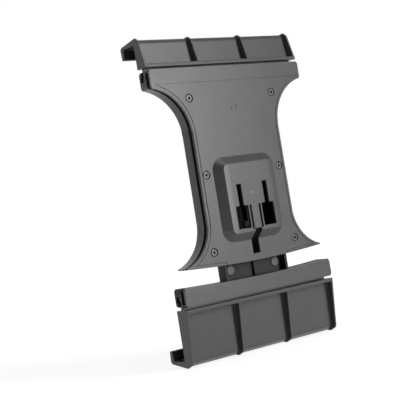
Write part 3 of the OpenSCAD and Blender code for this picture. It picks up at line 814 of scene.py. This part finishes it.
class Clearance:
    """Measures how far a rounding may reach across the flat surfaces beside each edge of a mesh."""

    FLAT = math.cos(math.radians(1.5))
    PROBES = (0.15, 0.5, 0.85)
    TINY = 1e-12
    NEAREST = 1e-7
    END_SLACK = 0.02

    def __init__(self, mesh: Mesh) -> None:
        """Joins faces that lie in one plane to regions.

        Args:
            mesh: The mesh.
        """
        self.mesh = mesh
        self.keys = {tuple(sorted(edge.vertices)): edge.index for edge in mesh.edges}
        self.by_edge = self.sides(mesh)
        self.region = [-1] * len(mesh.polygons)
        self.members: list[list[int]] = []
        for seed in range(len(mesh.polygons)):
            if self.region[seed] < 0:
                self._flood(seed)

    @staticmethod
    def sides(mesh: Mesh) -> dict[tuple[int, int], list[int]]:
        """Lists the faces on each edge.

        Args:
            mesh: The mesh.

        Returns:
            The faces' indices, keyed by the edge's two points in order.
        """
        found: dict[tuple[int, int], list[int]] = {}
        for face in mesh.polygons:
            for key in face.edge_keys:
                found.setdefault(tuple(sorted(key)), []).append(face.index)
        return found

    def _flood(self, seed: int) -> None:
        """Gathers the faces in one plane round a seed face into a new region.

        Args:
            seed: The seed face's index.
        """
        label = len(self.members)
        normal = self.mesh.polygons[seed].normal
        self.region[seed] = label
        found, open_faces = [seed], [seed]
        while open_faces:
            face = self.mesh.polygons[open_faces.pop()]
            for key in face.edge_keys:
                for other in self.by_edge[tuple(sorted(key))]:
                    if self.region[other] < 0 and self.mesh.polygons[other].normal.dot(normal) > self.FLAT:
                        self.region[other] = label
                        found.append(other)
                        open_faces.append(other)
        self.members.append(found)

    def room(self) -> dict[int, float]:
        """Measures every region.

        Returns:
            The free width beside each edge, the smaller of its two sides, keyed by the edge's index.
        """
        best: dict[int, float] = {}
        for label, faces in enumerate(self.members):
            rims = [pair for index in faces for pair in self._rims(self.mesh.polygons[index], label)]
            if rims:
                normal = np.array(self.mesh.polygons[faces[0]].normal)
                for edge, width in zip((pair[2] for pair in rims), self._widths(rims, normal)):
                    best[edge] = min(best.get(edge, math.inf), float(width))
        return best

    def _rims(self, face: bpy.types.MeshPolygon, label: int) -> list[tuple[int, int, int]]:
        """Lists a face's sides that border another region.

        Args:
            face: The face.
            label: Its region.

        Returns:
            Each side's two points in order, and its edge.
        """
        found = []
        corners = list(face.vertices)
        for first, second in zip(corners, corners[1:] + corners[:1]):
            key = tuple(sorted((first, second)))
            if any(self.region[other] != label for other in self.by_edge[key]):
                found.append((first, second, self.keys[key]))
        return found

    def _widths(self, rims: list[tuple[int, int, int]], normal: np.ndarray) -> np.ndarray:
        """Measures inwards from three points on each side to the nearest side that is met.

        Args:
            rims: The region's sides.
            normal: Its normal.

        Returns:
            The smallest width at each side.
        """
        start = np.array([self.mesh.vertices[rim[0]].co for rim in rims], float)
        run = np.array([self.mesh.vertices[rim[1]].co for rim in rims], float) - start
        length = np.linalg.norm(run, axis=1, keepdims=True) + self.TINY
        inward = np.cross(normal, run / length)
        across = np.cross(run, normal)
        smallest = np.full(len(rims), math.inf)
        for share in self.PROBES:
            origin = start + run * share
            gap = start[None] - origin[:, None]
            facing = np.einsum("ik,jk->ij", inward, across)
            with np.errstate(divide="ignore", invalid="ignore"):
                reach = np.einsum("ijk,jk->ij", gap, across) / facing
                side = np.cross(np.broadcast_to(inward[:, None], gap.shape), -gap)
                along = np.einsum("ijk,k->ij", side, normal) / facing
            hit = ((np.abs(facing) > self.TINY) & (reach > self.NEAREST)
                   & (along >= -self.END_SLACK) & (along <= 1 + self.END_SLACK))
            smallest = np.minimum(smallest, np.where(hit, reach, math.inf).min(axis=1))
        return smallest


@dataclass
class CrossScrew:
    """A pan-head screw with a cross recess and a real thread, modelled along +Y from its head.

    The crown, its edge and the recess are shares of the head's height or radius. The thread's depth and
    the tip are shares of the shank's radius.
    """

    head_r: float
    head_h: float
    shank_r: float
    length: float
    pitch: float
    rings: int = 6
    spokes: int = 24
    sides: int = 48
    crown: float = 0.38
    crown_edge: float = 0.9
    recess_span: float = 1.5
    recess_depth: float = 0.85
    recess_width: float = 0.56
    recess_taper: tuple[float, float] = (0.42, 0.55)
    thread_depth: float = 0.22
    thread_flank: float = 2.6
    run_out: float = 0.15
    tip: float = 0.35
    tip_run: float = 1.4

    def model(self, name: str) -> Piece:
        """Builds one screw with its head's underside at the origin and its shank towards +Y.

        Args:
            name: The piece's name.

        Returns:
            The screw.
        """
        head = self._head(name)
        shank = self._shank()
        Shop.pick(head, shank)
        bpy.ops.object.join()
        return head

    def _head(self, name: str) -> Piece:
        """Builds the head: a rounded disc with a tapered cross cut into it.

        Args:
            name: The piece's name.

        Returns:
            The head.
        """
        Shop.clear()
        bpy.ops.mesh.primitive_cylinder_add(vertices=self.sides, radius=self.head_r, depth=self.head_h,
                                            location=(0, -self.head_h / 2, 0),
                                            rotation=(math.pi / 2, 0, 0))
        head = bpy.context.object
        head.name = name
        Shop.settle(head)
        with Shop.editing_edges(head, lambda a, b: max(a.y, b.y) < -self.head_h * self.crown_edge):
            bpy.ops.mesh.bevel(offset=self.head_h * self.crown, segments=4, affect="EDGES")
        for turn in (45, 135):
            Shop.carve(head, self._blade(turn))
        return head

    def _blade(self, turn: float) -> Piece:
        """Builds one tapered blade of the cross.

        Args:
            turn: Its turn about the screw's axis, in degrees.

        Returns:
            The blade.
        """
        size = (self.head_r * self.recess_span, 2 * self.head_h * self.recess_depth,
                self.head_r * self.recess_width, 1)
        blade = Shop.block(Matrix.Diagonal(size), Matrix.Translation((0, -self.head_h, 0)))
        for corner in blade.data.vertices:
            if corner.co.y > -self.head_h:
                corner.co.x *= self.recess_taper[0]
                corner.co.z *= self.recess_taper[1]
        blade.data.transform(Matrix.Rotation(math.radians(turn), 4, "Y"))
        return blade

    def _shank(self) -> Piece:
        """Builds the threaded shank by moving a finely cut cylinder's points along a helix.

        Returns:
            The shank.
        """
        Shop.clear()
        bpy.ops.mesh.primitive_cylinder_add(vertices=self.spokes, radius=self.shank_r, depth=self.length,
                                            location=(0, self.length / 2, 0),
                                            rotation=(math.pi / 2, 0, 0), end_fill_type="TRIFAN")
        shank = bpy.context.object
        Shop.settle(shank)
        with Shop.editing_edges(shank, lambda a, b: abs(a.y - b.y) > self.length / 2):
            bpy.ops.mesh.subdivide(number_cuts=int(self.rings * self.length / self.pitch))
        for vertex in shank.data.vertices:
            place = vertex.co
            if math.hypot(place.x, place.z) < self.shank_r / 2:
                continue
            left = self.length - place.y
            phase = (place.y / self.pitch + math.atan2(place.z, place.x) / math.tau) % 1
            cut = self.thread_depth * min(1.0, self.thread_flank * abs(phase - 0.5))
            fade = min(1.0, place.y / self.pitch) * min(1.0, self.run_out + left / self.shank_r)
            share = (1 - cut * fade) * min(1.0, self.tip + left / (self.tip_run * self.shank_r))
            place.x *= share
            place.z *= share
        return shank


@dataclass
class ScrewSet:
    """Like cross screws that hold one cover, made as one piece.

    Where facing is 1 their shanks run to +Y, and where it is -1 they run to -Y.
    """

    shop: Shop
    screw: CrossScrew
    places: list[tuple[float, float]]
    seat_y: float
    facing: int
    turn_each: float = 37.0
    dark_depths: tuple[float, float] = (0.05, 0.97)
    dark_reach: float = 0.74

    def build(self, name: str, body: Body, node: str) -> None:
        """Sets copies of one screw with their heads' undersides on the seat, and hands them over.

        Args:
            name: The piece's name.
            body: The body that it rides on.
            node: The solids that it stands for.
        """
        master = self.screw.model(name)
        copies = [master] + [stand(name, master.data.copy()) for _ in self.places[1:]]
        flip = Matrix.Rotation(0 if self.facing > 0 else math.pi, 4, "Z")
        for index, (piece, (x, z)) in enumerate(zip(copies, self.places)):
            turn = Matrix.Rotation(math.radians(self.turn_each * index), 4, "Y")
            piece.data.transform(Matrix.Translation((x, self.seat_y, z)) @ flip @ turn)
        Shop.pick(*copies)
        bpy.ops.object.join()
        Shop.weld(master)
        Shop.smooth(master, 42)
        self.shop.hand_over(master, body, BLACKENED, Slot.SCREW, node)
        self._paint_recess_shade(master)

    def _paint_recess_shade(self, screws: Piece) -> None:
        """Paints shade on the faces inside the cross recesses with a near-black material.

        Args:
            screws: The joined screws.
        """
        high, low = (share * self.screw.head_h for share in self.dark_depths)
        # Painted shade: the faces inside each recess take the near-black material.
        screws.data.materials.append(self.shop.material(RECESS_SHADE))
        for face in screws.data.polygons:
            at = face.center
            near = min(math.hypot(at.x - x, at.z - z) for x, z in self.places)
            inside = high < (self.seat_y - at.y) * self.facing < low
            if inside and near < self.dark_reach * self.screw.head_r:
                face.material_index = 1


@dataclass
class Housing:
    """The body: rear shell, front cover with the arm boss, its six screws and the seat pads."""

    shop: Shop
    shell_round: float = 0.35 * MM
    cover_round: float = 0.3 * MM
    boss_round: float = 0.8 * MM
    pad_round: float = 0.2 * MM
    boss_top: float = 16.6 * MM
    boss_half: float = 18.8 * MM
    rim_x: float = 17.4 * MM
    rim_middle: float = -3.85 * MM
    rim_z: float = 20.4 * MM
    rim_corner: float = 250 * MM * MM
    rim_depth: float = 0.3 * MM
    crown_steps: tuple[Point, ...] = ((3.4 * MM, 2.2, 0.0), (1.7 * MM, 4.6, 0.065 * MM))
    crown_block: Point = (30 * MM, 3 * MM, 62 * MM)
    nub_z: float = -2.0 * MM
    nub_r: float = 1.65 * MM
    nub_left: float = 0.7
    inner_half: float = 24.6 * MM
    inner_z: tuple[float, float] = (-39 * MM, 30 * MM)
    inner_y: float = -1 * MM
    head_depth: float = 10.2 * MM
    screw_x: tuple[float, ...] = (32 * MM, 28.5 * MM, 32 * MM)
    screw_z: tuple[float, ...] = (58.9 * MM, 12.5 * MM, -33.4 * MM)
    screw: CrossScrew = field(default_factory=lambda: CrossScrew(
        head_r=2.12 * MM, head_h=1.0 * MM, shank_r=1.28 * MM, length=6.4 * MM, pitch=1.0 * MM))

    def build(self) -> None:
        """Builds and hands over every piece of the body."""
        shell = self.shop.rounded("rear_shell", "rear_shell_moulding", self.shell_round, Body.HOLDER,
                                  HOUSING, Slot.HOUSING)
        self._paint_inside_shade(shell)
        cover = self.shop.moulding("front_cover", "front_cover_moulding")
        self._crown_boss(cover)
        self._flatten_nub(cover)
        self.shop.round_edges(cover, self.boss_round, segments=4, rest=self.cover_round / self.boss_round,
                              firm=self._on_boss_rim)
        self.shop.smooth(cover, 34)
        self.shop.hand_over(cover, Body.HOLDER, COVER, Slot.HOUSING, "front_cover")
        places = [(side * x, z) for side in (-1, 1) for x, z in zip(self.screw_x, self.screw_z)]
        screws = ScrewSet(self.shop, self.screw, places, -self.head_depth, 1)
        screws.build("cover_cross_screws", Body.HOLDER, "cover_screws")
        self.shop.rounded("seat_pads", "seat_pad_strips", self.pad_round, Body.HOLDER, RUBBER, Slot.RUBBER)

    def _on_boss_rim(self, middle: Vector) -> bool:
        """Says whether an edge runs round the boss's top.

        Args:
            middle: The edge's middle.

        Returns:
            True on the rim's straight runs and round its corners.
        """
        straight = abs(middle.x) > self.rim_x or abs(middle.z - self.rim_middle) > self.rim_z
        corner = abs(middle.x * middle.z) > self.rim_corner
        return middle.y < self.rim_depth - self.boss_top and (straight or corner)

    def _crown_boss(self, cover: Piece) -> None:
        """Slopes the left and right margins of the boss's top by planing them in two shallow steps.

        Args:
            cover: The cover.
        """
        for reach, slope, drop in self.crown_steps:
            for turn in (0, 180):
                Shop.carve(cover, Shop.block(
                    Matrix.Translation((0.5, -0.5, 0)),
                    Matrix.Diagonal((*self.crown_block, 1)),
                    Matrix.Rotation(math.radians(slope), 4, "Z"),
                    Matrix.Translation((self.boss_half - reach, drop - self.boss_top, 0)),
                    Matrix.Rotation(math.radians(turn), 4, "Y")))
        Shop.close(cover)

    def _flatten_nub(self, cover: Piece) -> None:
        """Lowers the nub's dome, as worn by the arm's plate.

        Args:
            cover: The cover.
        """
        for vertex in cover.data.vertices:
            place = vertex.co
            if place.y < -self.boss_top and math.hypot(place.x, place.z - self.nub_z) < self.nub_r:
                place.y = -self.boss_top + (place.y + self.boss_top) * self.nub_left

    def _paint_inside_shade(self, shell: Piece) -> None:
        """Gives the faces behind the arm's windows a darker, rougher material: the darkness is painted
        shade, the roughness is real.

        Args:
            shell: The rear shell.
        """
        # Painted shade: faces inside the body, behind the windows, take the darker material.
        shell.data.materials.append(self.shop.material(INSIDE_SHADE))
        for face in shell.data.polygons:
            at = face.center
            within = abs(at.x) < self.inner_half and self.inner_z[0] < at.z < self.inner_z[1]
            if within and at.y < self.inner_y and face.normal.y < 0.5:
                face.material_index = 1


@dataclass
class Jaw:
    """One jaw with its rubber lining and its two grub screws."""

    shop: Shop
    side: str
    body: Body
    edge_round: float = 0.4 * MM
    grub_round: float = 0.1 * MM
    lining_t: float = 0.7 * MM
    groove_depth: float = 0.25 * MM
    groove_pitch: float = 2.0 * MM
    groove_share: float = 0.4

    def build(self) -> None:
        """Builds and hands over the jaw's three pieces."""
        side = self.side
        self.shop.rounded(f"{side}_jaw", f"{side}_jaw_moulding", self.edge_round, self.body, HOUSING,
                          Slot.HOUSING)
        lining = self.shop.moulding(f"{side}_jaw_lining", f"{side}_jaw_rubber")
        self._cut_ridges(lining)
        self.shop.smooth(lining)
        self.shop.hand_over(lining, self.body, RUBBER, Slot.RUBBER, f"{side}_jaw_lining")
        self.shop.rounded(f"{side}_grub_screws", f"{side}_socket_grubs", self.grub_round, self.body,
                          BLACKENED, Slot.SCREW)

    def _cut_ridges(self, lining: Piece) -> None:
        """Cuts grooves across the lining's inside, which leaves grip ridges between them.

        Args:
            lining: The lining.
        """
        points = np.array([vertex.co for vertex in lining.data.vertices])
        low, high = points.min(axis=0), points.max(axis=0)
        skin = self.lining_t - self.groove_depth
        base = low[2] - MM if self.side == "upper" else low[2] + skin
        top = high[2] - skin if self.side == "upper" else high[2] + MM
        count = int((high[0] - low[0] - self.groove_pitch) / self.groove_pitch)
        first = (low[0] + high[0] - (count - 1) * self.groove_pitch) / 2
        size = (self.groove_pitch * self.groove_share, high[1] - low[1] - 2 * skin, top - base, 1)
        middle = (first, (low[1] + high[1]) / 2, (base + top) / 2)
        comb = Shop.block(Matrix.Diagonal(size), Matrix.Translation(middle))
        Shop.apply(comb, "ARRAY", count=count, use_relative_offset=False, use_constant_offset=True,
                   constant_offset_displace=(self.groove_pitch, 0, 0))
        Shop.carve(lining, comb)


@dataclass
class Carriage:
    """The sliding strap with the lower cross bar, its front skin, screws, pad and glides."""

    shop: Shop
    edge_round: float = 0.3 * MM
    pad_round: float = 0.2 * MM
    glide_round: float = 0.1 * MM
    screw_x: tuple[float, ...] = (-50 * MM, -36 * MM, 36 * MM, 50 * MM)
    screw_z: float = -53.5 * MM
    head_seat: float = -1.1 * MM
    screw: CrossScrew = field(default_factory=lambda: CrossScrew(
        head_r=1.77 * MM, head_h=0.8 * MM, shank_r=0.98 * MM, length=7.6 * MM, pitch=0.8 * MM))

    def build(self) -> None:
        """Builds and hands over every piece of the carriage."""
        body = Body.CARRIAGE
        self.shop.rounded("slide_carriage", "slide_carriage_moulding", self.edge_round, body, STRAP,
                          Slot.STRAP)
        self.shop.rounded("carriage_cover", "carriage_cover_moulding", self.edge_round, body, HOUSING,
                          Slot.HOUSING)
        places = [(x, self.screw_z) for x in self.screw_x]
        screws = ScrewSet(self.shop, self.screw, places, self.head_seat, -1)
        screws.build("carriage_cross_screws", body, "carriage_screws")
        self.shop.rounded("carriage_pad", "carriage_pad_strip", self.pad_round, body, RUBBER, Slot.RUBBER)
        self.shop.rounded("glide_buttons", "glide_discs", self.glide_round, body, GLIDE, Slot.GLIDE)


@dataclass
class Spring:
    """A wound extension spring with an eye at each end, between the body's post and the strap's."""

    shop: Shop
    side: int
    wire_r: float = 0.38 * MM
    coil_r: float = 1.6 * MM
    x: float = 12 * MM
    y: float = -7.1 * MM
    low: float = 16 * MM
    high: float = 58 * MM
    eye_r: float = 1.95 * MM
    eye_arc: float = 300.0
    eye_steps: int = 18
    eye_gap: float = 3.2
    turns: int = 46
    steps: int = 14
    closing_steps: int = 6
    closed: float = 0.25

    def build(self) -> None:
        """Draws the wire as a curve, makes it a mesh, gives it its finish and hides the imported spring."""
        Shop.clear()
        curve = bpy.data.curves.new("wire", "CURVE")
        curve.dimensions = "3D"
        curve.bevel_depth = self.wire_r
        curve.bevel_resolution = 1
        curve.use_fill_caps = True
        points = self._route()
        spline = curve.splines.new("POLY")
        spline.points.add(len(points) - 1)
        for knot, place in zip(spline.points, points):
            knot.co = (*place, 1.0)
        name = "right" if self.side > 0 else "left"
        Shop.pick(stand(f"{name}_wound_spring", curve))
        bpy.ops.object.convert(target="MESH")
        piece = bpy.context.object
        Shop.weld(piece, 0.0005 * MM)
        Shop.smooth(piece, 60)
        self.shop.dress(piece, DRAWN, Slot.SPRING)
        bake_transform(piece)
        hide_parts(f"{name}_spring")
        LOG.info("%s: %d faces between both bodies", piece.name, len(piece.data.polygons))

    def _eye(self, z: float, way: int, start: float) -> list[Point]:
        """Gives the points of one eye's open ring.

        Args:
            z: The height of its middle.
            way: 1 for the lower eye and -1 for the upper one.
            start: The angle at which it starts, in degrees.

        Returns:
            The points in the order in which the wire runs.
        """
        angles = [math.radians(start - way * self.eye_arc * i / self.eye_steps)
                  for i in range(self.eye_steps + 1)]
        return [(self.side * self.x + self.eye_r * math.sin(a), self.y, z + way * self.eye_r * math.cos(a))
                for a in angles]

    def _route(self) -> list[Point]:
        """Gives the wire's points.

        Returns:
            The points from the lower eye through the coil to the upper eye.
        """
        bottom = self.low + self.eye_r + self.eye_gap * self.wire_r
        top = self.high - self.eye_r - self.eye_gap * self.wire_r
        count = self.turns * self.steps
        coil = []
        for i in range(count + 1):
            angle = math.tau * i / self.steps
            ease = min(1.0, i / self.closing_steps, (count - i) / self.closing_steps)
            radius = self.coil_r * (self.closed + (1 - self.closed) * ease)
            coil.append((self.side * self.x + radius * math.cos(angle), self.y + radius * math.sin(angle),
                         bottom + (top - bottom) * i / count))
        return self._eye(self.low, 1, 330) + coil + self._eye(self.high, -1, 30)


@dataclass
class Studio:
    """Camera, soft lights, pale floor and white surroundings."""

    eye: Point = (-0.3995, -0.5036, -0.0107)
    right: Point = (0.7910, -0.5902, -0.1613)
    up: Point = (0.1254, -0.1016, 0.9869)
    ahead: Point = (0.5988, 0.8009, 0.0063)
    lens: float = 90.19
    sensor: float = 36.0
    key_place: Point = (0.658, -1.291, 0.388)
    key_size: tuple[float, float] = (0.48, 1.5)
    key_power: float = 19.0
    top_place: Point = (0.1, -0.1, 1.5)
    top_size: tuple[float, float] = (1.2, 1.2)
    top_power: float = 6.5
    floor_half: float = 3.0
    floor_glow: tuple[float, float] = (0.83, 0.97)
    floor_glow_reach: tuple[float, float] = (0.12, 0.9)
    floor_pale: float = 0.36
    bright_way: Point = (0.28, 0.96, 0.0)
    bright_from: tuple[float, float] = (0.25, 0.65)
    dim: float = 0.03
    bright: float = 0.5

    def build(self, low: float) -> None:
        """Builds the whole set.

        Args:
            low: The height of the floor.
        """
        bpy.context.scene.view_settings.view_transform = "Standard"
        self._camera()
        self._world()
        self._lamp("key", self.key_place, self.key_size, self.key_power)
        self._lamp("top", self.top_place, self.top_size, self.top_power)
        self._floor(low)

    def _camera(self) -> None:
        """Sets the camera where the photograph was taken from."""
        data = bpy.data.cameras.new("camera")
        data.lens = self.lens
        data.sensor_width = self.sensor
        data.clip_start = 0.01
        camera = stand("camera", data)
        columns = [Vector(self.right), Vector(self.up), -Vector(self.ahead), Vector(self.eye)]
        camera.matrix_world = Matrix([[c[row] for c in columns] for row in range(3)] + [[0, 0, 0, 1]])
        bpy.context.scene.camera = camera

    def _world(self) -> None:
        """Makes the surroundings: white as seen, white behind the object as mirrored, dimmer as light."""
        world = bpy.data.worlds.new("surroundings")
        bpy.context.scene.world = world
        graph = Graph(world)
        along = graph.add("ShaderNodeVectorMath", operation="DOT_PRODUCT", Vector=graph.direction,
                          Vector_001=self.bright_way).outputs["Value"]
        lit, mirrored = (graph.spread(along, self.dim, top, *self.bright_from, "LINEAR")
                         for top in (self.bright, 1.0))
        level = graph.mix(graph.rays("Glossy", "Transmission"), lit, mirrored)
        level = graph.mix(graph.rays("Camera"), level, 1.0)
        graph.fill(graph.nodes["Background"], Strength=level, Color=(1, 1, 1, 1))

    @staticmethod
    def _lamp(name: str, place: Point, size: tuple[float, float], power: float) -> None:
        """Hangs a soft light that faces the object.

        Args:
            name: The lamp's name.
            place: Where it hangs.
            size: Its width and height.
            power: Its power in watts.
        """
        data = bpy.data.lights.new(name, "AREA")
        data.shape = "RECTANGLE"
        data.size, data.size_y = size
        data.energy = power
        lamp = stand(name, data)
        lamp.location = place
        lamp.rotation_euler = (-Vector(place)).to_track_quat("-Z", "Y").to_euler()

    def _floor(self, low: float) -> None:
        """Lays the floor, which shows white with the object's shadow on it.

        Args:
            low: Its height.
        """
        Shop.clear()
        bpy.ops.mesh.primitive_plane_add(size=2 * self.floor_half, location=(0, 0, low))
        floor = bpy.context.object
        floor.name = "floor"
        Shop.settle(floor)
        graph = Graph(bpy.data.materials.new("floor_white"))
        graph.nodes.remove(graph.nodes["Principled BSDF"])
        glow = graph.spread(graph.away((0, 0, low)), *self.floor_glow, *self.floor_glow_reach)
        level = graph.add("ShaderNodeMath", operation="MULTIPLY", Value_001=glow,
                          Value=graph.rays("Camera", "Glossy", "Transmission"))
        light = graph.add("ShaderNodeEmission", Color=(1, 1, 1, 1), Strength=level.outputs["Value"])
        matt = graph.add("ShaderNodeBsdfDiffuse", Color=grey(self.floor_pale))
        both = graph.add("ShaderNodeAddShader", Shader=matt.outputs["BSDF"],
                         Shader_001=light.outputs["Emission"])
        graph.fill(graph.nodes["Material Output"], Surface=both.outputs["Shader"])
        floor.data.materials.append(graph.owner)
        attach(floor, Body.CARRIAGE.value)
        floor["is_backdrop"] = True


def plain(box: Iterable[Iterable[float]]) -> list[list[float]]:
    """Gives a box's two corners as plain lists of numbers."""
    return [[float(v) for v in corner] for corner in box]


def main() -> None:
    """Builds the pieces in order, reports them and lays the floor at the lowest point measured before they
    were built.
    """
    logging.basicConfig(level=logging.INFO, format="%(relativeCreated)d %(name)s %(message)s")
    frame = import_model()
    packed = plain(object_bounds())
    shop = Shop(frame)
    Housing(shop).build()
    Jaw(shop, "upper", Body.HOLDER).build()
    Carriage(shop).build()
    Jaw(shop, "lower", Body.CARRIAGE).build()
    for side in (-1, 1):
        Spring(shop, side).build()
    Studio().build(packed[0][2])


if __name__ == "__main__":
    main()
